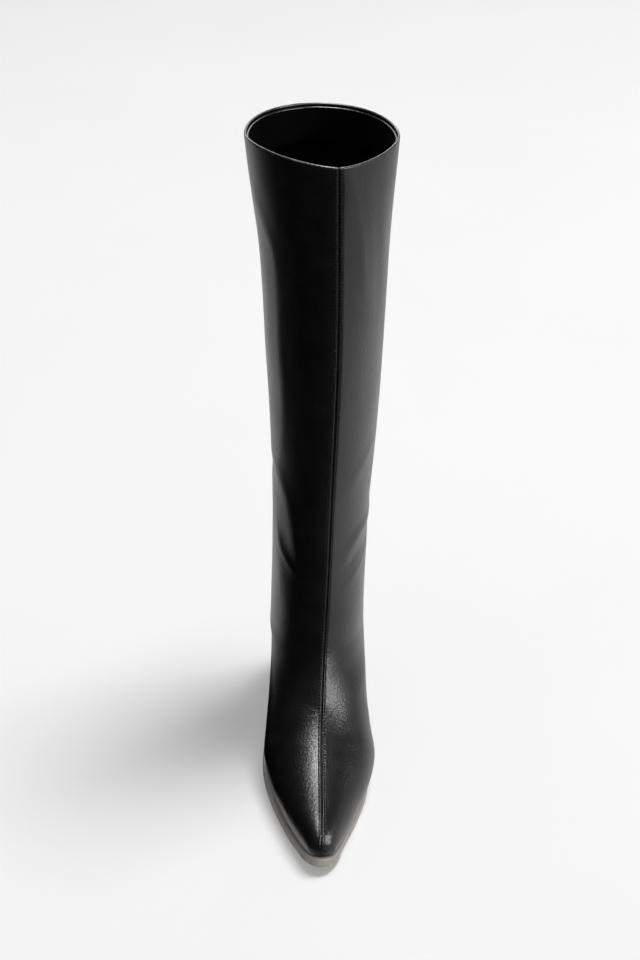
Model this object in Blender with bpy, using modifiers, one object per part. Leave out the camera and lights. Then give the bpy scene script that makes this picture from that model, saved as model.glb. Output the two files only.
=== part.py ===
"""Knee-high boot with a rounded point at the toe, a smooth shaft and a block heel.

It is the wearer's left boot: the toe points to -Y, the medial side is -X and +Z is up. The origin lies on the
floor under the middle of the heel. Sizes are in metres.
"""

import math
from collections import namedtuple

import bmesh
import bpy
from mathutils import Vector

# Foot, measured at the feather line, where the upper meets the outsole
FOOT_LENGTH = 0.247
BALL_WIDTH = 0.0772
SEAT_WIDTH = 0.0580
TOE_HEIGHT = 0.0300
INSTEP_HEIGHT = 0.0660
COUNTER_BULGE = 0.0020
TOE_SET = 0.0010
HEEL_SET = 0.0030

# Bottom, whose seat runs from the heel's breast to the back
HEEL_HEIGHT = 0.0700
SEAT_LENGTH = 0.0480
SEAT_PITCH = math.radians(14)
SOLE_THICKNESS = 0.0076
MEDIAL_LEDGE = 0.0032
LATERAL_LEDGE = 0.0014
SOLE_EDGE_ROUND = 0.0006
TOE_SPRING = 0.0070
INSOLE_THICKNESS = 0.0025
INSOLE_CLEARANCE = 0.0014

# Ankle and shaft; a setback is how far the back of a section lies in front of the foot's end
ANKLE_RISE = 0.1070
ANKLE_WIDTH = 0.0704
ANKLE_DEPTH = 0.0930
ANKLE_SETBACK = 0.0062
SHAFT_HEIGHT = 0.2930
COLLAR_WIDTH = 0.1034
COLLAR_DEPTH = 0.1240
COLLAR_SETBACK = -0.0112
COLLAR_SLOPE = 0.0080
UPPER_WALL = 0.0018
SEAM_GROOVE_WIDTH = 0.0014
SEAM_GROOVE_DEPTH = 0.0005

# Facing inside the collar, which thickens the wall from a little below the rim
FACING_WALL = 0.0011
FACING_DROP = 0.0030
FACING_HEIGHT = 0.0250
FACING_EDGE = 0.0004

# Block heel and the top piece under it
HEEL_FOOT_WIDTH = 0.0460
HEEL_FOOT_LENGTH = 0.0420
HEEL_FOOT_SETBACK = 0.0020
HEEL_INSET = 0.0010
TOP_PIECE = 0.0050
HEEL_EDGE_ROUND = 0.0006

JOIN_GAP = 0.0003

# Shares of the foot's length where the forepart's tread starts behind the toe, and where it ends behind the ball
TREAD_START = 0.26
TREAD_END = 0.40

# Number of faces
COLUMNS_OVER = 8
COLUMNS_UNDER = 7
WIDEST_ROW_SPACING = 0.0160
HEEL_LEVELS = 6

BALL_HALF = BALL_WIDTH / 2
SEAT_HALF = SEAT_WIDTH / 2
ANKLE_HALF = ANKLE_WIDTH / 2
SEAT_TOP = HEEL_HEIGHT + SOLE_THICKNESS
ANKLE_LEVEL = SEAT_TOP + ANKLE_RISE
HEEL_FOOT_MIDDLE = FOOT_LENGTH - HEEL_FOOT_SETBACK - HEEL_FOOT_LENGTH / 2

# Plan of the feather line: share of the foot's length from the toe, then each side's half width
Outline = namedtuple("Outline", "along medial lateral")
OUTLINE = (
    Outline(0.000, 0.000, 0.000),
    Outline(0.016, 0.185 * BALL_HALF, 0.185 * BALL_HALF),
    Outline(0.040, 0.285 * BALL_HALF, 0.285 * BALL_HALF),
    Outline(0.083, 0.385 * BALL_HALF, 0.385 * BALL_HALF),
    Outline(0.124, 0.487 * BALL_HALF, 0.487 * BALL_HALF),
    Outline(0.208, 0.668 * BALL_HALF, 0.690 * BALL_HALF),
    Outline(0.294, 0.832 * BALL_HALF, 0.862 * BALL_HALF),
    Outline(0.385, 0.948 * BALL_HALF, 0.958 * BALL_HALF),
    Outline(0.440, 0.971 * BALL_HALF, 0.975 * BALL_HALF),
    Outline(0.510, 0.925 * BALL_HALF, 0.950 * BALL_HALF),
    Outline(0.590, 0.790 * BALL_HALF, 0.880 * BALL_HALF),
    Outline(0.670, 0.905 * SEAT_HALF, 1.120 * SEAT_HALF),
    Outline(0.750, 0.875 * SEAT_HALF, 1.050 * SEAT_HALF),
    Outline(0.830, 0.940 * SEAT_HALF, 1.020 * SEAT_HALF),
    Outline(0.900, 0.960 * SEAT_HALF, 0.985 * SEAT_HALF),
    Outline(0.950, 0.840 * SEAT_HALF, 0.850 * SEAT_HALF),
    Outline(0.982, 0.560 * SEAT_HALF, 0.560 * SEAT_HALF),
    Outline(1.000, 0.000, 0.000),
)

# Sections of the shaft, from the collar down to the ankle. rise is the share of the shaft's height. width, depth and
# lean go from 0 at the ankle to 1 at the collar, and lean is for the back's place. sway and seam are sideways places
# as shares of half the ankle's width. ridge and flank above 1 sharpen the front, and low below 1 fills the back.
Shaft = namedtuple("Shaft", "rise width depth lean sway seam ridge flank low")
SHAFT = (
    Shaft(1.000, 1.000, 1.000, 1.00, -0.075, 0.160, 1.34, 1.28, 0.96),
    Shaft(0.930, 0.895, 0.945, 0.93, -0.057, 0.180, 1.33, 1.25, 0.97),
    Shaft(0.850, 0.757, 0.885, 0.85, -0.031, 0.200, 1.32, 1.22, 0.98),
    Shaft(0.740, 0.580, 0.810, 0.75, 0.014, 0.225, 1.30, 1.19, 0.99),
    Shaft(0.610, 0.467, 0.700, 0.63, 0.049, 0.250, 1.28, 1.16, 1.00),
    Shaft(0.470, 0.379, 0.550, 0.50, 0.072, 0.262, 1.26, 1.14, 1.00),
    Shaft(0.320, 0.257, 0.360, 0.34, 0.100, 0.260, 1.24, 1.12, 1.00),
    Shaft(0.160, 0.127, 0.170, 0.16, 0.108, 0.248, 1.22, 1.10, 1.00),
    Shaft(0.000, 0.010, 0.000, 0.00, 0.094, 0.240, 1.20, 1.08, 1.00),
)

# Sections below the ankle: each is a plane from a point on the front seam to a low point, which goes down the heel's
# back and then forwards on the feather line. over is the seam's place as a share of the foot's length from the toe.
# The seam's height over the sole is vamp shares of the instep's height plus toe shares of the toe's, and throat is
# its share of the rest of the way to the ankle. rise is the low point's share of the ankle's height over the seat,
# bulge its share of the counter's bulge, and turn its way along the feather line, from 0 at the heel to 1 at the
# toe. medial, lateral and seam are shares of half the ball's width, and widest says how far down that width lies.
Foot = namedtuple("Foot", "over throat vamp toe rise bulge turn medial lateral seam widest ridge flank low")
FOOT = (
    Foot(0.597, 0.760, 1.000, 0.000, 0.800, -2.20, 0.000, 0.826, 1.000, 0.216, 0.50, 1.20, 1.08, 1.00),
    Foot(0.587, 0.530, 1.000, 0.000, 0.570, -0.70, 0.000, 0.824, 0.996, 0.203, 0.50, 1.19, 1.08, 1.00),
    Foot(0.568, 0.350, 1.000, 0.000, 0.345, 0.60, 0.000, 0.828, 0.992, 0.185, 0.51, 1.18, 1.08, 0.98),
    Foot(0.542, 0.220, 1.000, 0.000, 0.165, 1.00, 0.000, 0.834, 0.992, 0.165, 0.52, 1.17, 1.08, 0.96),
    Foot(0.517, 0.135, 1.000, 0.000, 0.000, 0.00, 0.000, 0.842, 0.994, 0.148, 0.53, 1.16, 1.08, 0.94),
    Foot(0.503, 0.105, 1.000, 0.000, 0.000, 0.00, 0.064, 0.846, 0.996, 0.140, 0.54, 1.16, 1.08, 0.94),
    Foot(0.488, 0.078, 1.000, 0.000, 0.000, 0.00, 0.118, 0.850, 0.998, 0.132, 0.55, 1.16, 1.08, 0.94),
    Foot(0.466, 0.039, 1.000, 0.000, 0.000, 0.00, 0.183, 0.825, 1.000, 0.122, 0.57, 1.16, 1.08, 0.94),
    Foot(0.440, 0.000, 0.996, 0.000, 0.000, 0.00, 0.253, 0.830, 1.002, 0.112, 0.59, 1.16, 1.08, 0.94),
    Foot(0.410, 0.000, 0.912, 0.000, 0.000, 0.00, 0.328, 0.848, 1.007, 0.100, 0.62, 1.16, 1.08, 0.94),
    Foot(0.378, 0.000, 0.828, 0.000, 0.000, 0.00, 0.400, 0.887, 1.021, 0.092, 0.66, 1.15, 1.08, 0.95),
    Foot(0.343, 0.000, 0.754, 0.000, 0.000, 0.00, 0.465, 0.945, 1.080, 0.084, 0.69, 1.14, 1.08, 0.96),
    Foot(0.306, 0.000, 0.345, 0.760, 0.000, 0.00, 0.527, 0.985, 1.150, 0.077, 0.71, 1.12, 1.07, 0.98),
    Foot(0.266, 0.000, 0.160, 1.040, 0.000, 0.00, 0.585, 0.909, 1.080, 0.070, 0.72, 1.10, 1.06, 1.00),
    Foot(0.222, 0.000, 0.040, 1.170, 0.000, 0.00, 0.640, 0.824, 0.949, 0.064, 0.72, 1.08, 1.05, 1.00),
    Foot(0.174, 0.000, 0.000, 1.120, 0.000, 0.00, 0.694, 0.691, 0.785, 0.057, 0.71, 1.06, 1.04, 1.00),
    Foot(0.126, 0.000, 0.000, 0.985, 0.000, 0.00, 0.750, 0.569, 0.640, 0.050, 0.70, 1.04, 1.02, 1.00),
    Foot(0.083, 0.000, 0.000, 0.860, 0.000, 0.00, 0.802, 0.448, 0.515, 0.042, 0.69, 1.02, 1.00, 1.00),
    Foot(0.046, 0.000, 0.000, 0.715, 0.000, 0.00, 0.853, 0.340, 0.410, 0.032, 0.68, 1.00, 1.00, 1.00),
    Foot(0.018, 0.000, 0.000, 0.550, 0.000, 0.00, 0.900, 0.255, 0.320, 0.020, 0.66, 1.00, 1.00, 1.00),
    Foot(0.001, 0.000, 0.000, 0.380, 0.000, 0.00, 0.947, 0.170, 0.230, 0.010, 0.64, 1.00, 1.00, 1.00),
    Foot(-0.004, 0.000, 0.000, 0.250, 0.000, 0.00, 1.000, -0.026, 0.026, 0.026, 0.60, 1.00, 2.00, 2.00),
)

# What a section of the upper is drawn from. lean and rise place its back behind the foot's end and over the seat,
# and count only as long as turn is 0.
Section = namedtuple(
    "Section", "seam_along seam_up seam_x medial_x lateral_x back_x lean rise turn widest ridge flank low"
)


def smooth_curve(xs, ys):
    """y(x) through the points, with each slope taken from the parabola through three neighbours."""
    steps = [b - a for a, b in zip(xs, xs[1:])]
    rises = [(b - a) / step for a, b, step in zip(ys, ys[1:], steps)]
    slopes = [
        (rises[i - 1] * steps[i] + rises[i] * steps[i - 1]) / (steps[i - 1] + steps[i])
        for i in range(1, len(steps))
    ]
    slopes = [2 * rises[0] - slopes[0], *slopes, 2 * rises[-1] - slopes[-1]]

    def value(x):
        i = 0
        while i < len(steps) - 1 and x > xs[i + 1]:
            i += 1
        t = min(max((x - xs[i]) / steps[i], 0.0), 1.0)
        start = ys[i] * (1 + 2 * t) * (1 - t) ** 2 + slopes[i] * steps[i] * t * (1 - t) ** 2
        end = ys[i + 1] * t * t * (3 - 2 * t) - slopes[i + 1] * steps[i] * t * t * (1 - t)
        return start + end

    return value


# The squares of the half widths are smoothed, so that the outline is round at the toe and at the heel
squared_medial = smooth_curve([row.along for row in OUTLINE], [row.medial**2 for row in OUTLINE])
squared_lateral = smooth_curve([row.along for row in OUTLINE], [row.lateral**2 for row in OUTLINE])


def foot_axis(along):
    """Sideways place of the foot's middle line."""
    return TOE_SET + (HEEL_SET - TOE_SET) * along / FOOT_LENGTH


def feather_x(along, side):
    """Sideways place of the feather line on the medial side, -1, or the lateral side, 1."""
    squared = squared_medial if side < 0 else squared_lateral
    return foot_axis(along) + side * math.sqrt(max(squared(along / FOOT_LENGTH), 0.0))


def sole_height(along):
    """Height of the outsole's upper face: toe spring, tread, arch and then the sloping seat."""
    tread_start, tread_end = TREAD_START * FOOT_LENGTH, TREAD_END * FOOT_LENGTH
    breast = FOOT_LENGTH - SEAT_LENGTH
    seat_slope = math.tan(SEAT_PITCH)
    if along >= breast:
        return SEAT_TOP - (FOOT_LENGTH - along) * seat_slope
    if along > tread_end:
        span = breast - tread_end
        t = (along - tread_end) / span
        climb = SEAT_TOP - SEAT_LENGTH * seat_slope - SOLE_THICKNESS
        return SOLE_THICKNESS + climb * t * t * (3 - 2 * t) - seat_slope * span * t * t * (1 - t)
    if along < tread_start:
        return SOLE_THICKNESS + TOE_SPRING * ((tread_start - along) / tread_start) ** 2
    return SOLE_THICKNESS


def lifted(along, lift):
    """Height of a point that lies over the outsole's upper face by lift, measured at right angles to it."""
    nudge = FOOT_LENGTH / 2000
    slope = (sole_height(along + nudge) - sole_height(along - nudge)) / (2 * nudge)
    return sole_height(along) + lift * math.hypot(1.0, slope)


def world(x, along, height):
    """The point at a sideways place x, a distance along behind the toe and a height."""
    return Vector((x - HEEL_SET, along - HEEL_FOOT_MIDDLE, height))


def shaft_section(row):
    half_width = (ANKLE_WIDTH + (COLLAR_WIDTH - ANKLE_WIDTH) * row.width) / 2
    depth = ANKLE_DEPTH + (COLLAR_DEPTH - ANKLE_DEPTH) * row.depth
    setback = ANKLE_SETBACK + (COLLAR_SETBACK - ANKLE_SETBACK) * row.lean
    level = ANKLE_LEVEL + SHAFT_HEIGHT * row.rise
    tilt = COLLAR_SLOPE / 2 * row.rise
    middle = ANKLE_HALF * row.sway
    return Section(
        seam_along=FOOT_LENGTH - setback - depth,
        seam_up=level + tilt,
        seam_x=ANKLE_HALF * row.seam,
        medial_x=middle - half_width,
        lateral_x=middle + half_width,
        back_x=middle,
        lean=-setback,
        rise=level - tilt - SEAT_TOP,
        turn=0.0,
        widest=0.5,
        ridge=row.ridge,
        flank=row.flank,
        low=row.low,
    )


def foot_section(row):
    along = row.over * FOOT_LENGTH
    instep_up = sole_height(along) + row.vamp * INSTEP_HEIGHT + row.toe * TOE_HEIGHT
    return Section(
        seam_along=along,
        seam_up=instep_up + row.throat * (ANKLE_LEVEL - instep_up),
        seam_x=BALL_HALF * row.seam,
        medial_x=-BALL_HALF * row.medial,
        lateral_x=BALL_HALF * row.lateral,
        back_x=foot_axis(FOOT_LENGTH),
        lean=COUNTER_BULGE * row.bulge,
        rise=ANKLE_RISE * row.rise,
        turn=row.turn,
        widest=row.widest,
        ridge=row.ridge,
        flank=row.flank,
        low=row.low,
    )


def low_along(section):
    return FOOT_LENGTH * (1 + math.cos(math.pi * section.turn)) / 2


def low_ends(section):
    """The section's medial and lateral low ends, which are one point while it ends on the heel's back."""
    along = low_along(section)
    height = lifted(along, JOIN_GAP)
    if section.turn > 0:
        return [world(feather_x(along, side), along, height) for side in (-1, 1)]
    return [world(section.back_x, along + section.lean, height + section.rise)] * 2


def seam_point(section):
    return world(section.seam_x, section.seam_along, section.seam_up)


KEY_SECTIONS = [shaft_section(row) for row in SHAFT] + [foot_section(row) for row in FOOT]
HEEL_CORNER = len(SHAFT) + max(i for i, row in enumerate(FOOT) if row.turn == 0)


def distances_from_collar(sections):
    """How far down each section lies, as the mean of the ways along the seam and along the low ends."""
    places = [0.0]
    for a, b in zip(sections, sections[1:]):
        front = (seam_point(b) - seam_point(a)).length
        low = (low_ends(b)[0] - low_ends(a)[0]).length
        places.append(places[-1] + (front + low) / 2)
    return places


KEY_PLACES = distances_from_collar(KEY_SECTIONS)
KEY_CURVES = [smooth_curve(KEY_PLACES, column) for column in zip(*KEY_SECTIONS)]


def section_at(place):
    """The section that lies this far down from the collar."""
    section = Section(*(curve(place) for curve in KEY_CURVES))
    if place <= KEY_PLACES[HEEL_CORNER]:
        return section._replace(turn=0.0, rise=max(section.rise, 0.0))
    return section._replace(turn=min(max(section.turn, 0.0), 1.0))


def section_points(section):
    """A section of the outer face, from its low medial end over the seam to its low lateral end."""
    seam = seam_point(section)
    low_medial, low_lateral = low_ends(section)
    run = Vector((0.0, low_medial.y - seam.y, low_medial.z - seam.z))

    def half(widest_x, low_end):
        widest = Vector((widest_x - HEEL_SET, seam.y, seam.z)) + run * section.widest
        points = []
        for i in range(1, COLUMNS_OVER + 1):
            turn = math.pi / 2 * i / COLUMNS_OVER
            out = math.sin(turn) ** section.ridge
            down = 1 - max(math.cos(turn), 0.0) ** section.flank
            x = seam.x + (widest.x - seam.x) * out
            points.append(Vector((x, *(seam + run * (section.widest * down)).yz)))
        for i in range(1, COLUMNS_UNDER + 1):
            turn = math.pi / 2 * i / COLUMNS_UNDER
            out = max(math.cos(turn), 0.0) ** section.low
            down = math.sin(turn) ** section.low
            x = low_end.x + (widest.x - low_end.x) * out
            points.append(Vector((x, *widest.lerp(low_end, down).yz)))
        return points

    medial, lateral = half(section.medial_x, low_medial), half(section.lateral_x, low_lateral)
    # The seam lies sunk between two lips, and runs out where the section narrows at the toe
    narrowing = min(1.0, (section.lateral_x - section.medial_x) / BALL_HALF)
    lips = []
    for neighbour in (medial[0], lateral[0]):
        away = neighbour - seam
        lips.append(seam + away * min(SEAM_GROOVE_WIDTH / 2 / away.length, 0.5) if away.length else seam)
    sunk = seam + run.normalized() * SEAM_GROOVE_DEPTH * narrowing
    return [*reversed(medial), lips[0], sunk, lips[1], *lateral]


def place_over_breast():
    """Where the section lies that ends on the feather line right over the heel's breast."""
    low, high = KEY_PLACES[HEEL_CORNER], KEY_PLACES[-1]
    while high - low > FOOT_LENGTH * 1e-6:
        middle = (low + high) / 2
        if low_along(section_at(middle)) > FOOT_LENGTH - SEAT_LENGTH:
            low = middle
        else:
            high = middle
    return high


def upper_places():
    """Where the sections of the upper lie: at the facing's edges, over the breast, and between the key sections."""
    places = {FACING_DROP, FACING_DROP + FACING_EDGE, FACING_DROP + FACING_HEIGHT, place_over_breast()}
    places.add(FACING_DROP + FACING_HEIGHT + FACING_EDGE)
    for start, end in zip(KEY_PLACES, KEY_PLACES[1:]):
        count = math.ceil((end - start) / WIDEST_ROW_SPACING)
        places.update(start + (end - start) * i / count for i in range(count))
    return [*sorted(places), KEY_PLACES[-1]]


def new_object(name, material, mesh_parts):
    """An object in the boot's collection, from a bmesh whose coinciding points are made one."""
    bmesh.ops.remove_doubles(mesh_parts, verts=mesh_parts.verts, dist=1e-6)
    mesh = bpy.data.meshes.new(name)
    mesh_parts.to_mesh(mesh)
    mesh_parts.free()
    mesh.materials.append(material)
    mesh.shade_smooth()
    mesh.set_sharp_from_angle(angle=math.radians(40))
    obj = bpy.data.objects.new(name, mesh)
    boot.objects.link(obj)
    return obj


def joined_rows(rows, wall_shares=()):
    """A sheet of faces between rows of points, facing out where the rows go down and run left to right.

    wall_shares gives each row its share of the wall that is added later.
    """
    sheet = bmesh.new()
    weights = sheet.verts.layers.deform.new() if wall_shares else None
    verts = [[sheet.verts.new(point) for point in row] for row in rows]
    for row, share in zip(verts, wall_shares):
        for vert in row:
            vert[weights][0] = share
    for upper_row, lower_row in zip(verts, verts[1:]):
        for i in range(len(upper_row) - 1):
            sheet.faces.new((upper_row[i], lower_row[i], lower_row[i + 1], upper_row[i + 1]))
    return sheet, verts


def add_wall(obj, thickness, even=True):
    """Gives an open face its thickness, on the side away from its normals."""
    wall = obj.modifiers.new("wall", "SOLIDIFY")
    wall.thickness = thickness
    wall.offset = -1
    wall.use_even_offset = even
    return wall


def round_edges(obj, radius):
    edges = obj.modifiers.new("edges", "BEVEL")
    edges.width = radius
    edges.segments = 1
    edges.limit_method = "ANGLE"
    edges.angle_limit = math.radians(50)


def make_upper():
    """Shaft and foot in one hollow piece, open at the collar and along the feather line."""
    places = upper_places()
    thickest = UPPER_WALL + FACING_WALL
    facing = (FACING_DROP + FACING_EDGE / 2, FACING_DROP + FACING_HEIGHT + FACING_EDGE / 2)
    shares = [1.0 if facing[0] < place < facing[1] else UPPER_WALL / thickest for place in places]
    sheet, _ = joined_rows([section_points(section_at(place)) for place in places], shares)
    upper = new_object("upper", leather, sheet)
    upper.vertex_groups.new(name="wall")
    add_wall(upper, thickest, even=False).vertex_group = "wall"


def feather_stations():
    """Places along the foot, from heel to toe, where the upper's sections end on the feather line."""
    sections = [section_at(place) for place in upper_places()]
    return [low_along(section) for section in sections if section.turn > 0]


def edge_line(stations, outset, side):
    """Points (x, along) on one side of the feather line, moved out from it by outset."""
    nudge = FOOT_LENGTH / 2000
    points = []
    for along in stations:
        fore, aft = max(along - nudge, 0.0), min(along + nudge, FOOT_LENGTH)
        run = Vector((feather_x(aft, side) - feather_x(fore, side), aft - fore))
        out = Vector((side * run.y, -side * run.x)).normalized() * outset
        points.append((feather_x(along, side) + out.x, along + out.y))
    return points


def bottom_sheet(medial_outset, lateral_outset, lift):
    """Rows across the foot's bottom, from heel to toe, lifted off the outsole's upper face."""
    stations = feather_stations()[:-1]
    shift, outset = (lateral_outset - medial_outset) / 2, (lateral_outset + medial_outset) / 2
    rows = [
        [(foot_axis(FOOT_LENGTH) + shift, FOOT_LENGTH + outset)] * 2,
        *zip(edge_line(stations, medial_outset, -1), edge_line(stations, lateral_outset, 1)),
        [(foot_axis(0.0) + shift, -outset)] * 2,
    ]
    sheet, _ = joined_rows([[world(x, along, lifted(along, lift)) for x, along in row] for row in rows])
    return sheet


def make_outsole():
    outsole = new_object("outsole", sole_rubber, bottom_sheet(MEDIAL_LEDGE, LATERAL_LEDGE, 0.0))
    add_wall(outsole, SOLE_THICKNESS)
    round_edges(outsole, SOLE_EDGE_ROUND)


def make_insole():
    inset = UPPER_WALL + INSOLE_CLEARANCE
    insole = new_object("insole", lining, bottom_sheet(-inset, -inset, JOIN_GAP + INSOLE_THICKNESS))
    add_wall(insole, INSOLE_THICKNESS)


def heel_outline():
    """Plan of the heel's top, from the breast's lateral corner around the back to its medial corner."""
    medial_outset, lateral_outset = MEDIAL_LEDGE - HEEL_INSET, LATERAL_LEDGE - HEEL_INSET
    shift, outset = (lateral_outset - medial_outset) / 2, (lateral_outset + medial_outset) / 2
    breast = FOOT_LENGTH - SEAT_LENGTH + HEEL_INSET
    stations = [breast, *[along for along in reversed(feather_stations()) if along > breast + HEEL_INSET]]
    back = (foot_axis(FOOT_LENGTH) + shift, FOOT_LENGTH + outset)
    return [*edge_line(stations, lateral_outset, 1), back, *reversed(edge_line(stations, medial_outset, -1))]


def heel_foot_point(x, along):
    """Where a point of the heel's top outline comes to on the floor."""
    outset = (MEDIAL_LEDGE + LATERAL_LEDGE) / 2 - HEEL_INSET
    back = FOOT_LENGTH - HEEL_FOOT_SETBACK
    axis = foot_axis(FOOT_LENGTH)
    return (
        axis + (x - axis) * HEEL_FOOT_WIDTH / (SEAT_WIDTH + 2 * outset),
        back + (along - FOOT_LENGTH - outset) * HEEL_FOOT_LENGTH / (SEAT_LENGTH + outset),
    )


def make_heel():
    """Block that narrows quickly under the seat and slowly near the floor."""
    top = heel_outline()
    drop = (SOLE_THICKNESS + JOIN_GAP) / math.cos(SEAT_PITCH)
    floor_side = TOP_PIECE + JOIN_GAP
    rows = []
    for level in range(HEEL_LEVELS + 1):
        down = level / HEEL_LEVELS
        row = []
        for x, along in top:
            foot_x, foot_along = heel_foot_point(x, along)
            in_plan = 1 - (1 - down) ** 2
            high = sole_height(along) - drop
            row.append(world(x + (foot_x - x) * in_plan, along + (foot_along - along) * in_plan,
                             high + (floor_side - high) * down))
        rows.append([*row, row[0]])
    block, verts = joined_rows(rows)
    block.faces.new(verts[0][:-1])
    block.faces.new(verts[-1][-2::-1])
    round_edges(new_object("heel_block", heel_stack, block), HEEL_EDGE_ROUND)


def make_top_piece():
    outline = [heel_foot_point(x, along) for x, along in heel_outline()]
    sheet = bmesh.new()
    sheet.faces.new([sheet.verts.new(world(x, along, TOP_PIECE)) for x, along in outline])
    top_piece = new_object("heel_tip", sole_rubber, sheet)
    add_wall(top_piece, TOP_PIECE)
    round_edges(top_piece, HEEL_EDGE_ROUND)


def new_material(name, colour, roughness):
    material = bpy.data.materials.new(name)
    material.use_nodes = True
    shader = material.node_tree.nodes["Principled BSDF"]
    shader.inputs["Base Color"].default_value = (*colour, 1)
    shader.inputs["Roughness"].default_value = roughness
    shader.inputs["Metallic"].default_value = 0.0
    return material


for old in list(bpy.data.objects):
    bpy.data.objects.remove(old)
boot = bpy.data.collections.new("knee_high_boot")
bpy.context.scene.collection.children.link(boot)
leather = new_material("leather", (0.012, 0.012, 0.013), 0.38)
lining = new_material("lining", (0.020, 0.019, 0.018), 0.75)
sole_rubber = new_material("sole_rubber", (0.050, 0.042, 0.040), 0.55)
heel_stack = new_material("heel_stack", (0.018, 0.017, 0.016), 0.45)

make_upper()
make_insole()
make_outsole()
make_heel()
make_top_piece()
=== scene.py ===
"""Looks of the knee-high boot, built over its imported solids.

It is the wearer's left boot: the toe points to -Y, the medial side is -X and +Z is up. The origin lies on the
floor under the middle of the heel. Sizes are in metres.
"""

import math
from collections import namedtuple

import bmesh
import bpy
import numpy as np
from mathutils import Matrix, Vector

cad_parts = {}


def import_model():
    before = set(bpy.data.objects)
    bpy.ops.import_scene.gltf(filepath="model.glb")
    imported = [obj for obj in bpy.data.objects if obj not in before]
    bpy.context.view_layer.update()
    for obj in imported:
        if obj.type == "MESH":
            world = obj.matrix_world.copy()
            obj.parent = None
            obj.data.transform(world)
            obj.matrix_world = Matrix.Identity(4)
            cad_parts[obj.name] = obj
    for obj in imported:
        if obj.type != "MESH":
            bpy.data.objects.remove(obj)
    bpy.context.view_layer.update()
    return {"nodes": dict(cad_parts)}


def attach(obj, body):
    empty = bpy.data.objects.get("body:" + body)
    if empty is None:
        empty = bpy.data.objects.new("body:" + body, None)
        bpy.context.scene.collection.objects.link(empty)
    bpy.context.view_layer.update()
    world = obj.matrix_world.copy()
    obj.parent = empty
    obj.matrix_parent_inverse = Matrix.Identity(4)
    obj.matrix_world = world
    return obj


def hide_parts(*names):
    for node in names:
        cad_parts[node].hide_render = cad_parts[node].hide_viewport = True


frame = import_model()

MM = 0.001

# Sizes of the solids
FOOT_LENGTH = 0.247
BALL_WIDTH = 0.0772
SEAT_WIDTH = 0.0580
TOE_HEIGHT = 0.0300
INSTEP_HEIGHT = 0.0660
COUNTER_BULGE = 0.0020
TOE_SET = 0.0010
HEEL_SET = 0.0030
HEEL_HEIGHT = 0.0700
SEAT_LENGTH = 0.0480
SEAT_PITCH = math.radians(14)
SOLE_THICKNESS = 0.0076
MEDIAL_LEDGE = 0.0032
LATERAL_LEDGE = 0.0014
TOE_SPRING = 0.0070
ANKLE_RISE = 0.1070
ANKLE_WIDTH = 0.0704
ANKLE_DEPTH = 0.0930
ANKLE_SETBACK = 0.0062
SHAFT_HEIGHT = 0.2930
COLLAR_WIDTH = 0.1034
COLLAR_DEPTH = 0.1240
COLLAR_SETBACK = -0.0112
COLLAR_SLOPE = 0.0080
UPPER_WALL = 0.0018
FACING_WALL = 0.0011
FACING_DROP = 0.0030
FACING_HEIGHT = 0.0250
HEEL_FOOT_WIDTH = 0.0460
HEEL_FOOT_LENGTH = 0.0420
HEEL_FOOT_SETBACK = 0.0020
HEEL_INSET = 0.0010
TOP_PIECE = 0.0050
JOIN_GAP = 0.0003
TREAD_START = 0.26
TREAD_END = 0.40

BALL_HALF = BALL_WIDTH / 2
SEAT_HALF = SEAT_WIDTH / 2
ANKLE_HALF = ANKLE_WIDTH / 2
SEAT_TOP = HEEL_HEIGHT + SOLE_THICKNESS
ANKLE_LEVEL = SEAT_TOP + ANKLE_RISE
HEEL_FOOT_MIDDLE = FOOT_LENGTH - HEEL_FOOT_SETBACK - HEEL_FOOT_LENGTH / 2

# Front seam: a sunk line between two folded lips, and a row of stitches on each side of it
SEAM_WIDTH = 0.0013
SEAM_DEPTH = 0.0011
LIP_PLACE = 0.0010
LIP_RISE = 0.00016
LIP_WIDTH = 0.00045
SHOULDER_PLACE = 0.0029
SHOULDER_RISE = 0.00005
SHOULDER_WIDTH = 0.0005
STITCH_OFFSET = 0.0021
STITCH_PITCH = 0.0024
STITCH_LENGTH = 0.0017
STITCH_WIDTH = 0.00096
PUCKER_LENGTH = 0.00100
PUCKER_WIDTH = 0.00090
STITCH_DIMPLE = 0.00022
DIMPLE_WIDTH = 0.00038
STITCHES_END = 0.0115

# The seam's relief fades where the way around the leather is shorter than this
SEAM_FADE_GIRTH = 2.2 * BALL_HALF

# The lateral panel swells beside the seam down to SWELL_END, and falls away from FALL_START on, fully so from
# FALL_FULL. These are ways down from the collar.
SWELL_END = 0.330
SWELL_FADE = 0.200
SWELL_HEIGHT = 0.0011
SWELL_WIDTH = 0.0110
FALL_START = 0.230
FALL_FULL = 0.330
FALL_DEPTH = 0.00090
FALL_WIDTH = 0.0100
PANEL_END_FADE = 0.020

# Rim at the collar, facing behind it, and lasting edge at the feather line
RIM_RADIUS = 0.0009
RIM_RETURN = 1.6 * FACING_DROP
RIM_STEPS = 12
FACING_TUCK = 0.9 * UPPER_WALL
EDGE_RADIUS = 0.0009
EDGE_DROP = 0.00045
EDGE_FADE = 0.004
FLANGE_WIDTH = 0.0016

# Mesh of the upper
CURVE_POINTS = 81
CROWDED_LENGTH = 0.024
PANEL_ROW = 0.0020
FINE_ROWS = 6
SIDE_COLUMNS = 54
# Materials of the upper: leather, lighter rim leather that paints a highlight, and matt black that paints the
# seam's shade
LEATHER_FACE, EDGE_FACE, PAINTED_SEAM_SHADE_FACE = range(3)

# Edges of the sole and the heel
EDGE_STATIONS = 150
LEDGE_BLEND = 0.030
NUDGE = FOOT_LENGTH / 2000
BREAST_POINTS = 15

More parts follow.
